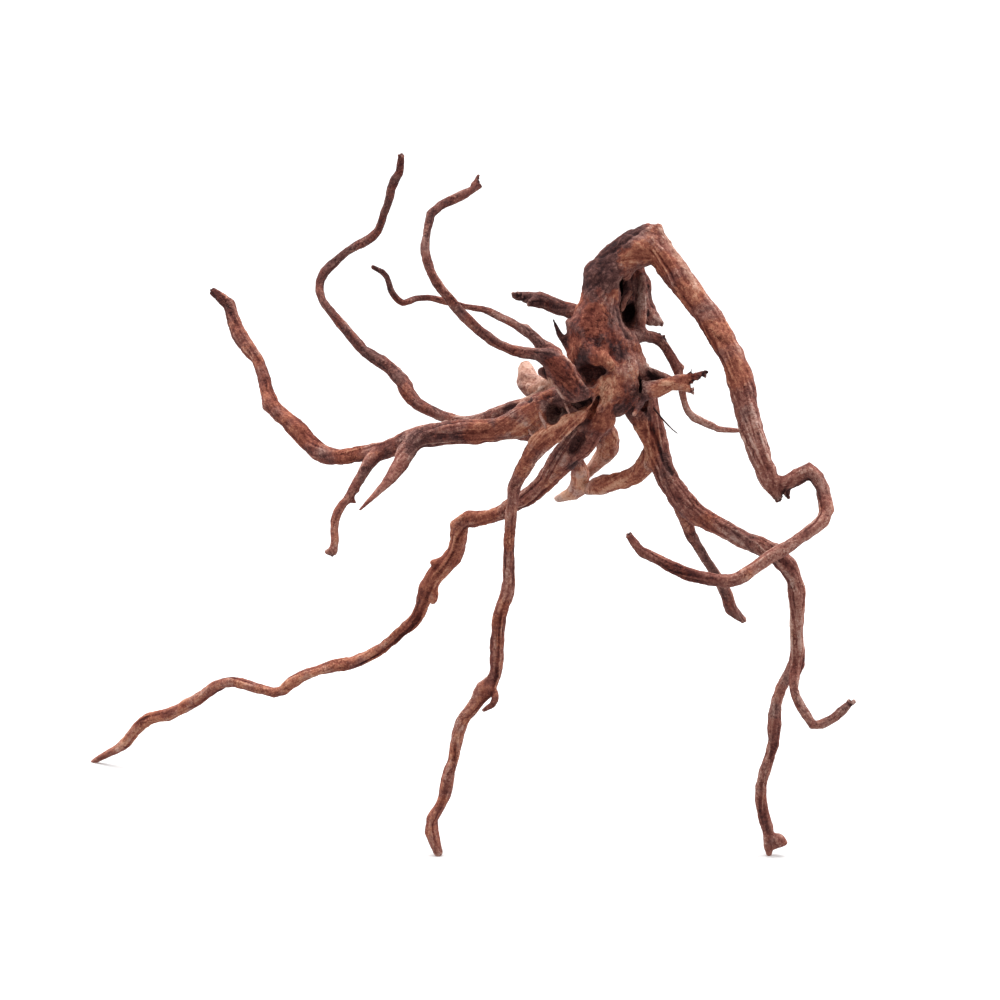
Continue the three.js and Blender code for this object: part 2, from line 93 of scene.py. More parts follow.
class Skin:
    """A closed mesh of four-sided faces as arrays: its points and each point's neighbours."""

    def __init__(self, mesh):
        self.mesh = mesh
        self.count = len(mesh.vertices)
        self.points = np.empty((self.count, 3), np.float32)
        mesh.vertices.foreach_get("co", self.points.ravel())
        edges = np.empty((len(mesh.edges), 2), np.int32)
        mesh.edges.foreach_get("vertices", edges.ravel())
        corners = np.empty(len(mesh.loops), np.int32)
        mesh.loops.foreach_get("vertex_index", corners)
        corners = corners.reshape(-1, 4)
        pairs = np.concatenate([edges, corners[:, [0, 2]], corners[:, [1, 3]]])
        pairs = np.concatenate([pairs, pairs[:, ::-1]])
        pairs = pairs[np.argsort(pairs[:, 0], kind="stable")]
        self.starts = np.searchsorted(pairs[:, 0], np.arange(self.count))
        self.near = pairs[:, 1]
        self.own = pairs[:, 0]
        self.valence = np.diff(np.append(self.starts, len(pairs))).astype(np.float32)

    def averaged(self, values):
        """Each point's mean of its neighbours' values."""
        return (np.add.reduceat(values[self.near], self.starts, axis=0).T / self.valence).T

    def spread(self, values, reach):
        """Values spread over the surface by about this length."""
        for _ in range(max(1, round((reach / FINE_STEP) ** 2 / AVERAGING))):
            values = self.averaged(values)
        return values

    def normals(self):
        """The outward direction at each point."""
        self.mesh.vertices.foreach_set("co", self.points.ravel())
        self.mesh.update()
        directions = np.empty((self.count, 3), np.float32)
        self.mesh.vertex_normals.foreach_get("vector", directions.ravel())
        return directions


def unit(vectors):
    """Vectors brought to length one."""
    return vectors / np.maximum(np.linalg.norm(vectors, axis=1, keepdims=True), 1e-9)


def dot(first, second):
    """The dot product of two lists of vectors, row by row."""
    return np.einsum("ij,ij->i", first, second)


def smooth_step(low, high, values):
    """0 below low, 1 above high, with a smooth rise between."""
    share = np.clip((values - low) / (high - low), 0, 1)
    return share * share * (3 - 2 * share)


# How thick the wood is at each point: half the way through it, straight in from the surface.
THICKEST = 20 * MM
RAY_LIFT = 0.1 * MM
fine_cut = shaped(node.data, "fine_cut", "REMESH", mode="VOXEL", voxel_size=FINE_STEP)
skin = Skin(largest_part(fine_cut))
facing = skin.spread(skin.normals(), 1.2 * MM)
solid = BVHTree.FromPolygons(skin.points.tolist(), [p.vertices for p in skin.mesh.polygons])
half_way = np.empty(skin.count, np.float32)
for i, (point, out) in enumerate(zip(skin.points.tolist(), facing.tolist())):
    inward = -Vector(out)
    through = solid.ray_cast(Vector(point) + inward * RAY_LIFT, inward, 2 * THICKEST)[3]
    half_way[i] = THICKEST if through is None else through / 2
girth = skin.spread(half_way, 2.4 * MM)

# The facets of the solid are worn round, more where the wood is stout, without making it slimmer.
WORN_MOST = 2.2 * MM
WORN_SHARE = 0.36                 # of the girth
WEAR_RATE = 0.7
PUFF = 0.12 * MM                  # made up for what the fine cut takes off
wear = WEAR_RATE * (np.minimum(WORN_SHARE * girth, WORN_MOST) / WORN_MOST)[:, None] ** 2
before = skin.points.copy()
for _ in range(round((WORN_MOST / FINE_STEP) ** 2 / AVERAGING / WEAR_RATE)):
    skin.points += wear * (skin.averaged(skin.points) - skin.points)
facing = skin.normals()
skin.points += facing * (skin.spread(dot(before - skin.points, facing), 3 * MM) + PUFF)[:, None]

# Places are given as the front view shows them: across and down a square of 1000 units, and a depth.
VIEW_DISTANCE = 1600              # millimetres from the eye to the middle of the view
VIEW_ELEVATION = math.radians(10)
VIEW_MIDDLE = 500
VIEW_UNIT = 400 / 760             # millimetres at the crown to one unit of the front view
VIEW_HEIGHT = 190                 # the middle of the front view over the ground, in millimetres
VIEW_SHIFT = (29.7676, -54.9905)  # millimetres that bring the part's middle over the frame's origin


def seen(across, down, towards):
    """A place in the front view, with its depth towards the eye in millimetres, as a point."""
    near = (VIEW_DISTANCE - towards) / VIEW_DISTANCE
    right = (across - VIEW_MIDDLE) * VIEW_UNIT * near
    up = (VIEW_MIDDLE - down) * VIEW_UNIT * near
    rise, level = math.sin(VIEW_ELEVATION), math.cos(VIEW_ELEVATION)
    return MM * np.array([
        right + VIEW_SHIFT[0],
        up * rise - towards * level + VIEW_SHIFT[1],
        VIEW_HEIGHT + up * level + towards * rise,
    ])


# The grain runs from the broken end of the limb, over its bend, down the neck and out along every root.
BROKEN_END = (781, 501, 36)
FLOW_ROUNDS = 3
start = int(np.argmin(np.linalg.norm(skin.points - seen(*BROKEN_END), axis=1)))
steps = np.linalg.norm(skin.points[skin.near] - skin.points[skin.own], axis=1).tolist()
near, starts = skin.near.tolist(), np.append(skin.starts, len(skin.near)).tolist()
along = [math.inf] * skin.count
along[start] = 0.0
waiting = [(0.0, start)]
while waiting:
    far, i = heapq.heappop(waiting)
    if far > along[i]:
        continue
    for k in range(starts[i], starts[i + 1]):
        reach = far + steps[k]
        if reach < along[near[k]]:
            along[near[k]] = reach
            heapq.heappush(waiting, (reach, near[k]))
along = skin.spread(np.array(along, np.float32), 2.2 * MM)

facing = skin.normals()
gap = skin.points[skin.near] - skin.points[skin.own]
climb = (along[skin.near] - along[skin.own]) / np.maximum(dot(gap, gap), 1e-12)
flow = unit(np.add.reduceat(gap * climb[:, None], skin.starts, axis=0))
for _ in range(FLOW_ROUNDS):
    flow = skin.spread(flow, 4.5 * MM)
    flow = unit(flow - facing * dot(flow, facing)[:, None])

# Noise drawn out along the grain gives the streaks of the wood, fine ones and broad ones.
GRAIN_STEP = 0.9 * MM
GRAIN_HOPS = 4                    # hops of one step, two, four and eight
GRAIN_ROUNDS = 6                  # averagings for each of them
tree = KDTree(skin.count)
for i, point in enumerate(skin.points.tolist()):
    tree.insert(point, i)
tree.balance()
ahead = np.array([tree.find(point)[1] for point in (skin.points + flow * GRAIN_STEP).tolist()])
behind = np.array([tree.find(point)[1] for point in (skin.points - flow * GRAIN_STEP).tolist()])
hops = [(ahead, behind)]
for _ in range(GRAIN_HOPS - 1):
    ahead, behind = ahead[ahead], behind[behind]
    hops.insert(0, (ahead, behind))


def drawn(values, longest):
    """Values averaged along the grain, in hops from this one, counted from the longest, to the shortest."""
    for ahead, behind in hops[longest:]:
        for _ in range(GRAIN_ROUNDS):
            values = (values + values[ahead] + values[behind]) / 3
    return values


def even(values):
    """Values brought to mean 0 and spread 1."""
    return (values - values.mean()) / values.std()


def rough(size, seed):
    """Smooth noise of this size, from -1 to 1, at each point."""
    scaled = (skin.points / size + seed).tolist()
    return np.array([noise.noise(point) for point in scaled], np.float32)


streak = even(drawn(rough(0.9 * MM, 11.3), 1))
cord = even(drawn(rough(3 * MM, 47.1), 0))
strip = even(drawn(rough(6 * MM, 83.7), 0))

# Marks on the wood, placed by the front view: sharp edges, deep creases and torn tips.
FULL_SHARE = 0.25                 # of a mark's reach, over which it is at full strength
SIGHT_START = 0.99 * VIEW_DISTANCE


def along_route(route, reach):
    """1 along a route of places in the front view, and 0 from this many millimetres off it."""
    stations = [seen(*station) for station in route]
    off = np.full(skin.count, np.inf)
    for first, second in zip(stations, stations[1:] or stations):
        way = second - first
        length = max(float(way @ way), 1e-12)
        share = np.clip((skin.points - first) @ way / length, 0, 1)
        off = np.minimum(off, np.linalg.norm(skin.points - first - share[:, None] * way, axis=1))
    return 1 - smooth_step(FULL_SHARE * reach * MM, reach * MM, off)


def on_front(across, down):
    """The depth in millimetres at which the view through this place meets the wood."""
    eye = Vector(seen(across, down, SIGHT_START))
    way = Vector(seen(across, down, 0)) - eye
    met = solid.ray_cast(eye, way.normalized())[3]
    return 0 if met is None else SIGHT_START * (1 - met / way.length)


def on_wood(places, reach):
    """1 along a line of places, each on the wood that shows there or at a depth of its own."""
    return along_route([place if len(place) == 3 else (*place, on_front(*place)) for place in places], reach)


# An edge or crease has a reach and a height or depth in millimetres, and its places in the front view.
SHELF_EDGE = [(506, 402), (525, 397), (540, 389), (551, 381)]
EDGES = {
    "arm_right": (1.7, 0.5, [(563, 356), (570, 365), (575, 373), (579, 380), (586, 388)]),
    "arm_left": (1.8, 0.4, [(550, 377), (556, 386), (563, 397)]),
    "shelf": (2.2, 0.5, SHELF_EDGE),
    "leg_top": (1.9, 0.5, [(530, 442), (537, 435), (548, 431), (565, 423), (580, 412)]),
    "boss": (2.0, 0.5, [(601, 381), (601, 390), (602, 398)]),
    "limb_low": (1.6, 0.4, [(630, 241), (642, 233), (651, 227)]),
}
CREASES = {
    "under_arm": (2.2, 1.2, [(570, 404), (582, 403), (592, 399)]),
    "side": (2.2, 0.6, [(639, 376), (640, 388), (643, 400), (644, 410)]),
    "right_leg": (2.0, 0.7, [(647, 412), (652, 428), (658, 444), (664, 460), (671, 474)]),
    "root_gap": (2.2, 1.2, [(505, 409), (517, 405), (530, 400)]),
    "bark_edge": (1.9, 0.7, [(601, 257), (613, 250), (625, 242), (637, 234)]),
    "plate": (1.6, 0.6, [(648.5, 286), (648, 300), (648.5, 314), (649, 327)]),
    "neck": (2.2, 0.5, [(616, 300), (619, 312), (621, 326), (628, 336)]),
}
SPLINTER = 1.8                    # how far a torn tip is ragged, in millimetres
TIPS = {
    "broken_end": (4.5, [(780, 500, 36), (787, 499, 37)]),
    "left_arm": (4, [(209, 289, -75)]),
    "high_root": (3, [(401, 154, -42)]),
    "arm": (3, [(480, 180, 27)]),
    "right_twig": (5, [(853, 701, 20)]),
    "neck_stub": (4, [(514, 295, -14), (528, 304, -6)]),
    "curl": (3, [(628, 534, 54)]),
    "side_twig": (3, [(707, 372, 24), (693, 391, 23), (691, 368, 22)]),
    "left_drop": (3, [(331, 553, 4)]),
    "flake": (4, [(663, 327, -12), (664, 337, -9)]),
    "back_spur": (3, [(744, 621, -41)]),
}
edge = np.zeros(skin.count)
crease = np.zeros(skin.count)
marks = np.zeros(skin.count)
for reach, height, places in EDGES.values():
    mark = on_wood(places, reach)
    edge = np.maximum(edge, mark)
    marks += height * mark
for reach, depth, places in CREASES.values():
    mark = on_wood(places, reach)
    crease = np.maximum(crease, mark)
    marks -= depth * mark
torn = np.max([on_wood(places, reach) for reach, places in TIPS.values()], axis=0)
marks += SPLINTER * torn * rough(1.6 * MM, 19.4)

# Relief, in millimetres: swells, lumps, cords, streaks, bark plates and fissures.
# A layer of noise has its size in millimetres, its seed and its height. Swells grow with the girth.
SLIM_MOST = 4.6                   # the girth in millimetres above which grain grows no deeper
SWELLS = [(13, 5.2, 0.17), (5.5, 9.4, 0.15), (2.6, 2.2, 0.07)]
LUMPS = [(18, 1.7, 1.3), (8, 6.1, 0.8), (3.6, 8.8, 0.45)]
PIMPLES = [(2, 4.6, 0.2), (1.3, 7.3, 0.2)]
CORD_RISE = 0.034                 # for each millimetre of girth, and what stout wood loses of it
CORD_LOSS = 0.024
STREAK_RISE = 0.02
STREAK_LOSS = 0.012
BARK_RISE = 0.05
BARK_MOST = 0.22
FISSURE_SINK = 0.14
FISSURE_MOST = 0.5
FISSURE_LOSS = 0.6                # the share that stouter wood loses
DEEPEST = 0.4                     # for each millimetre of girth
HIGHEST = 0.3


def heaped(layers):
    """Layers of noise in one."""
    return sum(height * rough(size * MM, seed) for size, seed, height in layers)


stout = smooth_step(6.5 * MM, 12 * MM, girth)
slim = np.minimum(girth / MM, SLIM_MOST)
relief = slim * heaped(SWELLS) + (stout * heaped(LUMPS) + stout * heaped(PIMPLES))
fissure = smooth_step(1.0, 2.1, -cord) * smooth_step(-0.3, 0.4, rough(17 * MM, 71.0))
fissure *= 1 - FISSURE_LOSS * smooth_step(4.5 * MM, 7.5 * MM, girth)
bark = smooth_step(-0.2, 0.9, 0.5 * strip + 1.6 * rough(26 * MM, 31.9) + 0.9 * rough(7 * MM, 3.3))
relief += slim * (CORD_RISE - CORD_LOSS * stout) * np.clip(cord, -2, 2)
relief += slim * (STREAK_RISE - STREAK_LOSS * stout) * np.clip(streak, -2.5, 2.5)
relief += np.minimum(BARK_RISE * slim, BARK_MOST) * bark
relief -= np.minimum(FISSURE_SINK * slim, FISSURE_MOST) * fissure
relief = np.clip(relief, -DEEPEST * slim - stout, HIGHEST * slim + stout) + marks
relief *= smooth_step(0, 4 * MM, skin.points[:, 2])
skin.points += facing * (relief * MM)[:, None]
raised = skin.normals()
# How deep each point lies in the fine relief: the finish darkens hollows by it as painted shade and lightens
# ridges as wear.
hollow = dot(skin.spread(skin.points, 1.1 * MM) - skin.points, raised) / MM
hollow -= skin.spread(hollow, 3.5 * MM)
core = unit(drawn(facing, 0)) * drawn(girth, 0)[:, None]

# How far each point is sheltered by the wood round it: the finish paints shade there, darker and greyer in
# the recesses.
SHELTER_RAYS = 10
SHELTER_REACH = 26 * MM
solid = BVHTree.FromPolygons(skin.points.tolist(), [p.vertices for p in skin.mesh.polygons])
golden = math.pi * (3 - math.sqrt(5))
lifts = np.sqrt((np.arange(SHELTER_RAYS) + 0.5) / SHELTER_RAYS)
cross = unit(np.cross(raised, flow))
turn = 40 * rough(0.7 * MM, 13.0)         # each point casts its rays from another side
starts = (skin.points + raised * 0.3 * MM).tolist()
shelter = np.zeros(skin.count, np.float32)
for k, lift in enumerate(lifts.tolist()):
    level = math.sqrt(1 - lift * lift)
    sideways = flow * np.cos(turn + k * golden)[:, None] + cross * np.sin(turn + k * golden)[:, None]
    rays = (raised * lift + sideways * level).tolist()
    for i in range(skin.count):
        if solid.ray_cast(starts[i], rays[i], SHELTER_REACH)[3] is not None:
            shelter[i] += 1 / SHELTER_RAYS
shelter = skin.spread(shelter, 1.5 * MM)

# Places where the wood is peeled, sooty, warm in colour or rubbed light, and places darkened as painted
# shade.
# A zone has a reach in millimetres, a strength and its places. A spot is one place with its reach.
BACK_ROOT = [(612, 440), (606, 452), (597, 462), (586, 473)]
PEELED = {
    "knob": (10, 1.0, [(539, 389, -39), (534, 387, -42), (526, 378, -50), (526, 362, -56)]),
    "shelf": (7, 0.9, [(556, 384, -12), (541, 386, -20), (526, 394, -26)]),
    "shelf_edge": (3, 1.0, SHELF_EDGE),
    "back_root": (9, 0.9, [(610, 442, -38), (608, 452, -42), (598, 463, -48), (580, 482, -57)]),
    "pale_root": (8, 0.5, [(580, 478, -46), (579, 487, -52), (570, 497, -60), (552, 498, -69)]),
    "limb_edge": (6, 0.6, [(660, 225, 1), (669, 240, 2), (681, 259, 5), (691, 275, 8)]),
    "limb_front": (4.5, 0.6, [(662, 229), (670, 243), (680, 260), (690, 276), (697, 287)]),
}
# Dark bark and soot on the roots and neck; the cleft zone is painted shade deep in the cleft.
SOOT_AND_SHADE_ZONES = {
    "neck_spike": (5, 1.0, [(566, 342, 6), (560, 335, 7), (553, 319, 8)]),
    "neck_side": (8, 1.0, [(637, 230, 6), (612, 248, 8), (594, 266, 8), (586, 282, 6)]),
    "neck_bark": (8, 0.9, [(598, 263), (611, 253), (624, 243), (637, 233)]),
    "neck_stub": (9, 0.6, [(560, 308), (545, 303), (530, 298), (516, 296)]),
    "cleft": (6, 1.0, [(621, 282, -4), (631, 318, -6)]),
    "arm": (11, 0.7, [(585, 394), (571, 382), (556, 363), (545, 356)]),
    "high_root": (14, 0.4, [
        (460, 420), (430, 410), (408, 393), (388, 367), (357, 342), (331, 312), (320, 286), (342, 255),
        (371, 238), (384, 211), (395, 180), (401, 160),
    ]),
    "arm_root": (14, 0.25, [
        (512, 350), (490, 339), (467, 319), (443, 291), (426, 260), (428, 226), (448, 201), (474, 189),
    ]),
    "left_root": (14, 0.4, [(500, 426), (470, 431), (440, 436), (417, 438)]),
    "left_arm": (14, 0.22, [(470, 431), (417, 438), (350, 455), (322, 454), (289, 421), (267, 390)]),
    "slim_root": (10, 0.4, [
        (540, 344), (519, 327), (491, 312), (456, 304), (427, 297), (403, 303), (391, 290), (380, 270),
    ]),
    "back_spur": (12, 0.4, [(696, 543), (713, 570), (728, 602), (742, 620)]),
}
# Dark patches of bark, and painted shade in the eye, under its brow and in the clefts.
SOOT_AND_SHADE_SPOTS = [
    (606, 275, 13), (590, 287, 8), (618, 349, 10), (603, 339, 8), (582, 358, 9), (641, 390, 7),
    (643, 405, 8), (630, 410, 7), (655, 377, 6), (543, 369, 5), (512, 408, 6), (524, 446, 5),
    (576, 466, 7), (630, 314, 9), (631, 306, 6), (621, 287, 8), (644, 402, 7), (624, 406, 9),
    (583, 366, 8), (598, 367, 7), (604, 372, 5),
]
SHADED_SPOTS = [
    (597, 317, 14), (606, 334, 12), (584, 334, 10), (600, 352, 9), (596, 285, 12), (606, 271, 11),
    (628, 393, 9), (553, 402, 8), (553, 414, 7), (592, 374, 9), (575, 446, 8), (574, 330, 9),
    (592, 344, 9), (592, 301, 9), (509, 540, 12),
]
WARM = {
    "long_root": (12, 0.5, [
        (486, 517), (462, 521), (457, 548), (442, 568), (427, 590), (413, 621), (389, 642), (352, 663),
        (312, 673), (286, 688), (262, 689), (227, 682), (200, 698), (170, 714), (141, 724), (110, 752),
    ]),
    "left_arm": (12, 0.3, [
        (333, 457), (289, 421), (267, 390), (257, 359), (243, 342), (233, 320), (222, 296),
    ]),
    "front_leg_top": (9, 0.8, [(520, 465), (530, 445), (548, 432), (565, 424), (585, 411)]),
    "front_leg": (12, 0.3, [
        (511, 515), (509, 560), (498, 624), (485, 689), (460, 725), (446, 785), (433, 834),
    ]),
    "under_root": (9, 0.7, [(650, 457), (641, 471), (625, 479), (608, 483), (590, 487)]),
    "back_root": (8, 0.5, BACK_ROOT),
    "right_leg": (8, 0.6, [(640, 430), (648, 445), (655, 460)]),
    "side_twig": (7, 0.6, [(655, 391), (670, 386), (690, 380)]),
}
WARM_SPOTS = [
    (628, 258, 9), (613, 297, 7), (597, 315, 12), (575, 346, 8), (607, 356, 10), (606, 388, 12),
    (590, 409, 7), (606, 421, 9), (647, 440, 11), (641, 252, 9), (660, 264, 9), (690, 292, 12),
    (716, 332, 12), (737, 372, 10), (553, 438, 8), (640, 470, 8), (530, 415, 12), (518, 428, 10),
    (548, 396, 8), (645, 430, 9), (651, 452, 9), (668, 385, 9), (686, 381, 7), (505, 425, 9),
    (568, 380, 8), (556, 366, 8), (580, 484, 9), (566, 497, 8), (509, 540, 10), (300, 432, 12),
    (345, 455, 12), (480, 432, 12),
]
RUBBED = {
    "limb_top": (5, 1.0, [(634, 241), (645, 235)]),
    "limb_root": (8, 0.5, [(628, 258)]),
    "neck_side": (6, 0.4, [(614, 298)]),
    "plate": (4, 0.5, [(642, 280), (643, 298), (643, 324)]),
    "belt": (6, 0.5, [(603, 350), (608, 361), (614, 370)]),
    "boss": (7, 1.5, [(603, 381), (606, 389), (604, 399)]),
    "web": (8, 1.3, [(518, 437), (528, 431), (536, 426)]),
    "under_root": (8, 0.5, [(640, 471), (625, 479), (608, 483)]),
    "back_root": (9, 1.4, BACK_ROOT),
    "pale_root": (8, 2.1, [(580, 478), (579, 487), (568, 496), (557, 499)]),
    "trailing_twig": (6, 0.6, [(684, 402), (692, 415), (704, 422), (716, 428)]),
    "right_leg": (6, 1.2, [(637, 434), (643, 448), (648, 462)]),
    "right_leg_low": (9, 1.0, [(794, 588), (797, 605), (797, 650)]),
    "front_leg_top": (5, 0.9, [(530, 441), (548, 430), (565, 423), (582, 412)]),
    "long_root": (9, 0.15, [(352, 663), (286, 688), (227, 682), (170, 714), (110, 752)]),
    "curl": (10, 0.25, [
        (800, 470), (818, 470), (830, 500), (826, 522), (790, 545), (760, 565), (740, 577), (700, 576),
        (660, 560),
    ]),
}
RUBBED_SPOTS = [
    (589, 411, 6), (630, 371, 11), (641, 364, 8), (606, 387, 12), (609, 366, 8), (604, 399, 7),
    (546, 433, 9), (563, 424, 7), (643, 300, 8), (643, 318, 8), (652, 292, 6), (657, 322, 6),
    (655, 391, 7), (668, 385, 7), (612, 440, 8), (645, 462, 8), (531, 430, 9), (522, 434, 8),
    (582, 482, 9), (568, 496, 8),
]
SHADED_SHARE = 0.5                # shares of full strength
# Creases are darkened as painted shade; torn tips are dark wood.
CREASE_SHADE = 0.7
TORN_SOOT = 0.7
EDGE_WEAR = 0.8
# Painted highlight: the upper sides of slim roots are lightened as if lit from above.
TOP_HIGHLIGHT = 0.4                      # on the upper sides of slim roots
GRAIN_LOSS = 0.6                  # the share of its streaks that stout wood hides


def strongest(zones):
    """The strongest of these zones at each point."""
    return np.max([strength * on_wood(places, reach) for reach, strength, places in zones.values()], axis=0)


def spotted(spots):
    """1 at each of these spots, and 0 from its reach off it."""
    return np.max([on_wood([(across, down)], reach) for across, down, reach in spots], axis=0)


pale = skin.spread(strongest(PEELED), 1.5 * MM)
shaded = SHADED_SHARE * spotted(SHADED_SPOTS)
# Dark bark, soot and dark torn tips, with painted shade in the hollows, the clefts and the creases.
sooty = np.maximum(strongest(SOOT_AND_SHADE_ZONES), spotted(SOOT_AND_SHADE_SPOTS))
sooty = np.max([sooty, shaded, CREASE_SHADE * crease, TORN_SOOT * torn], axis=0)
warm = np.maximum(strongest(WARM), spotted(WARM_SPOTS))
worn = np.max([strongest(RUBBED), spotted(RUBBED_SPOTS), EDGE_WEAR * edge], axis=0)
# A painted highlight on the upper sides of slim roots, over the rubbed wear.
worn += TOP_HIGHLIGHT * (1 - stout) * np.clip(raised[:, 2], 0, 1)
calm = 1 - GRAIN_LOSS * stout

KEPT = {
    "streak": streak * calm, "cord": cord * calm, "strip": strip * calm, "along": along, "stout": stout,
    "bark": bark, "fissure": fissure, "hollow": hollow, "shelter": shelter,
    "pale": pale, "sooty": sooty, "warm": warm, "worn": worn,
}
for name, values in KEPT.items():
    skin.mesh.attributes.new(name, "FLOAT", "POINT").data.foreach_set("value", values.astype(np.float32))
kept_core = skin.mesh.attributes.new("core", "FLOAT_VECTOR", "POINT")
kept_core.data.foreach_set("vector", core.astype(np.float32).ravel())

share = TRIANGLE_LIMIT / (2 * len(skin.mesh.polygons))
body = shaped(skin.mesh, "spiderwood", "DECIMATE", ratio=min(1, share))
body.shade_smooth()
spiderwood = bpy.data.objects.new("spiderwood", body)
bpy.context.scene.collection.objects.link(spiderwood)


class Shade:
    """One socket of a material's nodes, so that the shader is written as sums."""

    def __init__(self, tree, socket=None):
        self.tree = tree
        self.socket = socket

    def node(self, kind, settings=(), sockets=(), output=0):
        """A new node with these settings and socket values or links; gives one of its outputs."""
        made = self.tree.nodes.new(kind)
        for name, value in dict(settings).items():
            if name == "stops":
                for extra in value[2:]:
                    made.color_ramp.elements.new(extra[0])
                for stop, (at, colour) in zip(made.color_ramp.elements, sorted(value)):
                    stop.position, stop.color = at, colour
            else:
                setattr(made, name, value)
        for name, value in dict(sockets).items():
            if isinstance(value, Shade):
                self.tree.links.new(value.socket, made.inputs[name])
            else:
                made.inputs[name].default_value = value
        return Shade(self.tree, made.outputs[output])

    def math(self, operation, first, second):
        return self.node("ShaderNodeMath", {"operation": operation}, {0: first, 1: second})

    def __add__(self, other):
        return self.math("ADD", self, other)

    def __radd__(self, other):
        return self.math("ADD", other, self)

    def __sub__(self, other):
        return self.math("SUBTRACT", self, other)

    def __rsub__(self, other):
        return self.math("SUBTRACT", other, self)

    def __mul__(self, other):
        return self.math("MULTIPLY", self, other)

    def __rmul__(self, other):
        return self.math("MULTIPLY", other, self)

    def rise(self, low, high):
        """0 below low, 1 above high, with a smooth rise between."""
        return self.node(
            "ShaderNodeMapRange",
            {"interpolation_type": "SMOOTHSTEP"},
            {"Value": self, "From Min": low, "From Max": high},
        )

    def tint(self, share, colour):
        """This colour, with a share of another over it."""
        return self.node(
            "ShaderNodeMix", {"data_type": "RGBA"}, {0: share, 6: self, 7: colour}, output=2
        )


def linear(red, green, blue):
    """A colour given as screen values from 0 to 255."""
    channels = [c / 255 for c in (red, green, blue)]
    return [c / 12.92 if c <= 0.04045 else ((c + 0.055) / 1.055) ** 2.4 for c in channels] + [1.0]


WOOD_TONES = [
    (0.0, linear(50, 24, 26)),
    (0.25, linear(88, 45, 42)),
    (0.5, linear(132, 78, 69)),
    (0.72, linear(173, 118, 104)),
    (1.0, linear(222, 182, 168)),
]
WARM_TONES = [
    (0.0, linear(58, 22, 18)),
    (0.25, linear(104, 49, 40)),
    (0.5, linear(148, 83, 67)),
    (0.72, linear(190, 119, 94)),
    (1.0, linear(232, 175, 145)),
]
ASHEN_TONES = [
    (0.0, linear(46, 29, 31)),
    (0.25, linear(78, 51, 50)),
    (0.5, linear(122, 86, 81)),
    (0.72, linear(165, 127, 118)),
    (1.0, linear(218, 186, 175)),
]
PEELED_TONES = [
    (0.0, linear(122, 78, 66)),
    (0.5, linear(193, 139, 117)),
    (1.0, linear(234, 198, 180)),
]

# The finish is matt, and its colour follows the grain, the relief and the places marked above, with painted
# shade in its recesses and a painted highlight on top of slim roots.
finish = bpy.data.materials.new("dry_root_wood")
finish.use_nodes = True
shader = finish.node_tree.nodes["Principled BSDF"]
shade = Shade(finish.node_tree)


def kept(name):
    """One of the values kept on the mesh."""
    return shade.node("ShaderNodeAttribute", {"attribute_name": name}, output=2)


def speckle(size, detail):
    """Noise of this size in metres, about 0."""
    place = shade.node("ShaderNodeTexCoord", output=3)
    return shade.node(
        "ShaderNodeTexNoise", {"noise_dimensions": "3D"},
        {"Vector": place, "Scale": 1 / size, "Detail": detail, "Roughness": 0.6},
    ) - 0.5


def grained(size, stretch):
    """Noise of this size across the grain, drawn out along it by this much, about 0."""
    place = shade.node("ShaderNodeAttribute", {"attribute_name": "core"}, output=1)
    way = kept("along") * (1 / stretch)
    return shade.node(
        "ShaderNodeTexNoise", {"noise_dimensions": "4D"},
        {"Vector": place, "W": way, "Scale": 1 / size, "Detail": 3.0, "Roughness": 0.65},
    ) - 0.5


MID_LIGHTNESS = 0.6
# Of these, hollows and sheltered places are darkened as painted shade, the dark value holds painted shade in
# the hollows and clefts, and the worn value a painted highlight on slim roots.
LIGHTENING = {                    # how far each value kept on the mesh lightens the wood
    "strip": 0.04, "bark": -0.14, "hollow": -0.7, "fissure": -0.26, "shelter": -0.18, "sooty": -0.34,
    "worn": 0.2, "warm": 0.02,
}
fibre = grained(1.2 * MM, 7)
wander = grained(3.5 * MM, 2.5)
fine = speckle(1.5 * MM, 3.0)
grit = speckle(0.8 * MM, 2.0)
blotch = speckle(13 * MM, 3.0)
broad = speckle(45 * MM, 2.0)
hue = speckle(9 * MM, 4.0) + speckle(32 * MM, 2.0) * 0.8 + fine * 0.4 + kept("strip") * 0.03
hue = hue * (0.6 + kept("stout") * 0.4)
crack = (1 - (wander * wander).rise(0.0, 0.0009)) * blotch.rise(0.0, 0.1)
tone = kept("streak") * 0.06 + kept("cord") * 0.035 - crack * 0.22
tone = tone + fibre * (0.7 - kept("stout") * 0.25) + fine * (0.6 - kept("stout") * 0.1)
tone = tone + grit.rise(0.06, 0.2) * 0.2 - grit.rise(-0.08, -0.22) * 0.24
# Painted shade: sheltered places are darker, and the deepest of them are lifted a little so that they stay
# short of black.
lightness = MID_LIGHTNESS + tone + blotch * 0.5 + broad * 0.3 + kept("shelter").rise(0.55, 0.9) * 0.08
for name, weight in LIGHTENING.items():
    lightness = lightness + kept(name) * weight


def toned(stops, level):
    """A colour between these stops by a level from 0 to 1."""
    return shade.node("ShaderNodeValToRGB", {"stops": stops}, {"Fac": level})


colour = toned(WOOD_TONES, lightness)
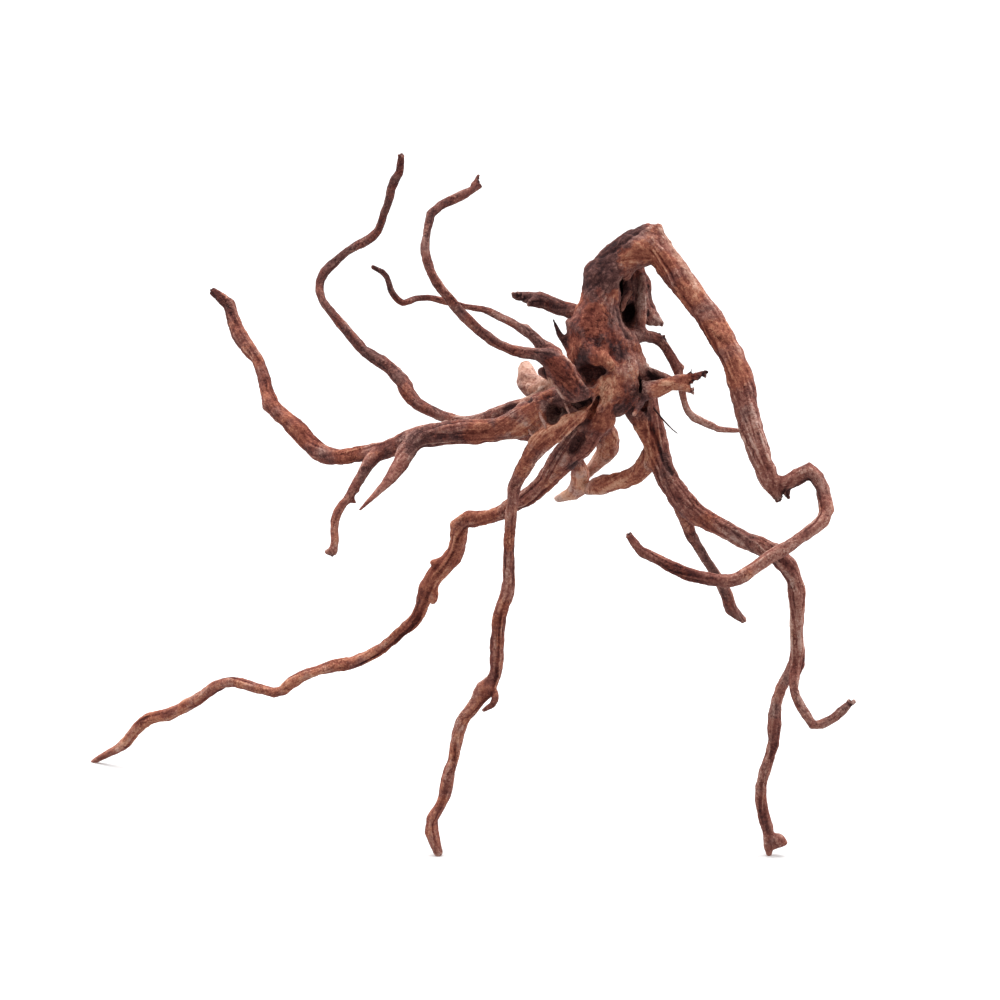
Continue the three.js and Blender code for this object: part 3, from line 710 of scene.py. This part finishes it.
# Sheltered and dark places turn ashen grey: painted shade where sheltered, soot and dark bark elsewhere.
dull = (kept("shelter") * 0.2 + kept("sooty") * 0.25 - kept("warm") * 0.2 - hue).rise(0.02, 0.18)
colour = colour.tint(dull * 0.8, toned(ASHEN_TONES, lightness))
warmth = (hue + kept("warm") * 0.3 - kept("sooty") * 0.05).rise(0.02, 0.2)
colour = colour.tint(warmth, toned(WARM_TONES, lightness))
bare = (kept("pale") + fine * 0.9).rise(0.15, 0.85)
colour = colour.tint(bare * 0.85, toned(PEELED_TONES, lightness + 0.08))
finish.node_tree.links.new(colour.socket, shader.inputs["Base Color"])
gloss = 0.7 + fine * 0.25 - tone * 0.2
finish.node_tree.links.new(gloss.socket, shader.inputs["Roughness"])
height = fibre * 0.8 + fine * 0.7 - crack * 0.4
bump = shade.node("ShaderNodeBump", {}, {"Height": height, "Strength": 1.0, "Distance": 0.8 * MM})
finish.node_tree.links.new(bump.socket, shader.inputs["Normal"])
shader.inputs["Specular IOR Level"].default_value = 0.1
body.materials.clear()
body.materials.append(finish)
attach(spiderwood, "root")
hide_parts("spiderwood_root")


# The slivers
# Torn strips of the same wood that bridge the hollows and lie on the web beside the left root.
# Each split off along the grain and is still grown fast to the stock at both of its ends.
STRIP_SIDES = 8
STRIP_RINGS = 14
STRIP_GRAIN = 15 * MM             # the length of grain that a strip shows
END_SHARE = 0.45                  # how wide a strip's ends are for its middle
WAVER = 0.12
SINK = 1.2                        # how deep an end sits in the wood, in millimetres


def sunk(place):
    """A strip's end: just under the wood that shows at this place, or at a depth of its own."""
    return seen(*place) if len(place) == 3 else seen(*place, on_front(*place) - SINK)


def strip_points(ends, width, thickness, bow):
    """The rings of a strip between two places in the front view, slim at both ends."""
    first, last = (sunk(place) for place in ends)
    towards = unit((seen(VIEW_MIDDLE, VIEW_MIDDLE, 1) - seen(VIEW_MIDDLE, VIEW_MIDDLE, 0))[None])[0]
    way = unit((last - first)[None])[0]
    across = np.cross(way, towards)
    rings = []
    for share in np.linspace(0, 1, STRIP_RINGS):
        swell = math.sin(math.pi * share)
        stray = WAVER * math.sin(9 * share + 40 * width)
        middle = first + (last - first) * share + (towards * bow * swell + across * stray * width) * MM
        full = END_SHARE + (1 - END_SHARE) * swell ** 0.6
        full *= (1 + WAVER * math.sin(23 * share + width)) * MM / 2
        for turn in np.linspace(0, 2 * math.pi, STRIP_SIDES, endpoint=False):
            offset = across * math.cos(turn) * width + towards * math.sin(turn) * thickness
            rings.append((middle, offset * full, share))
    return rings


def strip_mesh(name, strips):
    """One mesh of closed strips, with the values that the wood's finish reads."""
    middles, offsets, shares, faces, light, dark = [], [], [], [], [], []
    for rings, worn_share, soot_and_shade_share in strips:
        base = len(middles)
        for middle, offset, share in rings:
            middles.append(middle)
            offsets.append(offset)
            shares.append(share)
            light.append(worn_share)
            dark.append(soot_and_shade_share)
        count = len(rings) // STRIP_SIDES
        for ring in range(count - 1):
            for side in range(STRIP_SIDES):
                corner = base + ring * STRIP_SIDES + side
                beside = base + ring * STRIP_SIDES + (side + 1) % STRIP_SIDES
                faces.append((corner, corner + STRIP_SIDES, beside + STRIP_SIDES, beside))
        faces.append(tuple(base + side for side in range(STRIP_SIDES)))
        faces.append(tuple(base + count * STRIP_SIDES - 1 - side for side in range(STRIP_SIDES)))
    mesh = bpy.data.meshes.new(name)
    mesh.from_pydata((np.array(middles) + np.array(offsets)).tolist(), [], faces)
    mesh.update()
    mesh.shade_smooth()
    values = {"worn": light, "sooty": dark, "along": np.array(shares) * STRIP_GRAIN}
    for title, numbers in values.items():
        layer = mesh.attributes.new(title, "FLOAT", "POINT")
        layer.data.foreach_set("value", np.asarray(numbers, np.float32))
    layer = mesh.attributes.new("core", "FLOAT_VECTOR", "POINT")
    layer.data.foreach_set("vector", np.asarray(offsets, np.float32).ravel())
    mesh.materials.append(finish)
    return mesh


# A sliver has its two ends, its width, thickness and bow in millimetres, how worn it is, and how dark, from
# soot and from painted shade where it lies in the pit or the cleft.
SLIVERS = {
    "pit_plank": (((558, 399), (580, 415)), 4.6, 1.6, -2.0, 0.1, 0.3),
    "pit_chip": (((563, 400), (571, 417)), 1.3, 1.0, 0.6, 0.9, 0.0),
    "web_splinter": (((538, 409), (548, 433)), 1.7, 1.2, 1.4, 1.0, 0.0),
    "web_chip": (((528, 428), (536, 443)), 1.4, 1.0, 1.0, 1.1, 0.0),
    "cleft_strand": (((632, 286, -10), (621, 311, -4)), 3.2, 2.0, 0.8, 0.7, 0.2),
}
strips = []
for ends, width, thickness, bow, worn_share, soot_and_shade_share in SLIVERS.values():
    strips.append((strip_points(ends, width, thickness, bow), worn_share, soot_and_shade_share))
slivers = bpy.data.objects.new("slivers", strip_mesh("slivers", strips))
bpy.context.scene.collection.objects.link(slivers)
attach(slivers, "root")


# The hair rootlet
# One dead rootlet as thin as thread, left hanging where the right leg leaves the crown.
# It is dry wood, dark and stiff as wire, and its thick end grew out of the leg.
HAIR_PLACES = [(651, 405), (656, 411), (662, 418.5), (668, 425), (673, 430), (677.5, 433.5)]
HAIR_WIDTH = 1.15
HAIR_TAPER = 0.5
HAIR_SLANT = 0.7                  # its rings lie across its way down to the right
HAIR_SOOT = 1.2
hair_depth = on_front(*HAIR_PLACES[0]) - SINK
hair_rings = []
for i, place in enumerate(HAIR_PLACES):
    middle = seen(*place, hair_depth)
    thick = HAIR_WIDTH * (1 - HAIR_TAPER * i / (len(HAIR_PLACES) - 1)) * MM / 2
    for turn in np.linspace(0, 2 * math.pi, STRIP_SIDES, endpoint=False):
        slant = HAIR_SLANT * math.cos(turn)
        offset = np.array([slant, math.sin(turn), slant]) * thick
        hair_rings.append((middle, offset, i / (len(HAIR_PLACES) - 1)))
hair = bpy.data.objects.new("hair_rootlet", strip_mesh("hair_rootlet", [(hair_rings, 0, HAIR_SOOT)]))
bpy.context.scene.collection.objects.link(hair)
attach(hair, "root")


# The studio
# A wide pale floor under an even white sky, with a broad soft lamp overhead
# and a large soft box on either side, a little behind the wood. None of it belongs to the part.
FLOOR_RADIUS = 150.0
FLOOR_SIDES = 96
FLOOR_COLOUR = (0.93, 0.93, 0.93, 1)
SKY_STRENGTH = 0.55
floor_mesh = bpy.data.meshes.new("floor")
turns = [2 * math.pi * k / FLOOR_SIDES for k in range(FLOOR_SIDES)]
ring = [(FLOOR_RADIUS * math.cos(turn), FLOOR_RADIUS * math.sin(turn), 0) for turn in turns]
floor_mesh.from_pydata(ring, [], [list(range(FLOOR_SIDES))])
floor = bpy.data.objects.new("floor", floor_mesh)
bpy.context.scene.collection.objects.link(floor)
floor_finish = bpy.data.materials.new("white_floor")
floor_finish.use_nodes = True
floor_shader = floor_finish.node_tree.nodes["Principled BSDF"]
floor_shader.inputs["Base Color"].default_value = FLOOR_COLOUR
floor_shader.inputs["Roughness"].default_value = 0.9
floor_shader.inputs["Specular IOR Level"].default_value = 0.0
floor_mesh.materials.append(floor_finish)
floor.visible_diffuse = False     # a table in the open throws little light up

scene = bpy.context.scene
scene.view_settings.view_transform = "Standard"
sky = bpy.data.worlds.new("soft_white")
scene.world = sky
sky.use_nodes = True
glow = sky.node_tree.nodes["Background"]
glow.inputs["Color"].default_value = (1, 1, 1, 1)
glow.inputs["Strength"].default_value = SKY_STRENGTH


def soft_box(name, at, aim, size, power):
    """A square lamp that faces a point."""
    lamp = bpy.data.lights.new(name, "AREA")
    lamp.size = size
    lamp.energy = power
    box = bpy.data.objects.new(name, lamp)
    box.location = at
    box.rotation_euler = (Vector(aim) - Vector(at)).to_track_quat("-Z", "Y").to_euler()
    scene.collection.objects.link(box)


CROWN = (0.07, -0.05, 0.22)
LID_POWER = 2.95
LID_SPREAD = math.radians(60)
LID_WAY = (0.05, -0.2, -1)
soft_box("left_box", (-1.5, 0.5, 0.7), CROWN, 1.2, 10)
soft_box("right_box", (1.6, 0.2, 0.7), CROWN, 1.2, 15)
lid = bpy.data.lights.new("lid_light", "SUN")
lid.energy = LID_POWER
lid.angle = LID_SPREAD
lid_box = bpy.data.objects.new("lid_light", lid)
lid_box.rotation_euler = Vector(LID_WAY).to_track_quat("-Z", "Y").to_euler()
scene.collection.objects.link(lid_box)

# The camera stands where the photograph was taken from.
SENSOR_WIDTH = 36
lens = bpy.data.cameras.new("front_camera")
lens.sensor_width = SENSOR_WIDTH
lens.lens = SENSOR_WIDTH * VIEW_DISTANCE / (2 * VIEW_MIDDLE * VIEW_UNIT)
camera = bpy.data.objects.new("front_camera", lens)
camera.location = seen(VIEW_MIDDLE, VIEW_MIDDLE, VIEW_DISTANCE)
camera.rotation_euler = (math.pi / 2 - VIEW_ELEVATION, 0, 0)
scene.collection.objects.link(camera)
scene.camera = camera
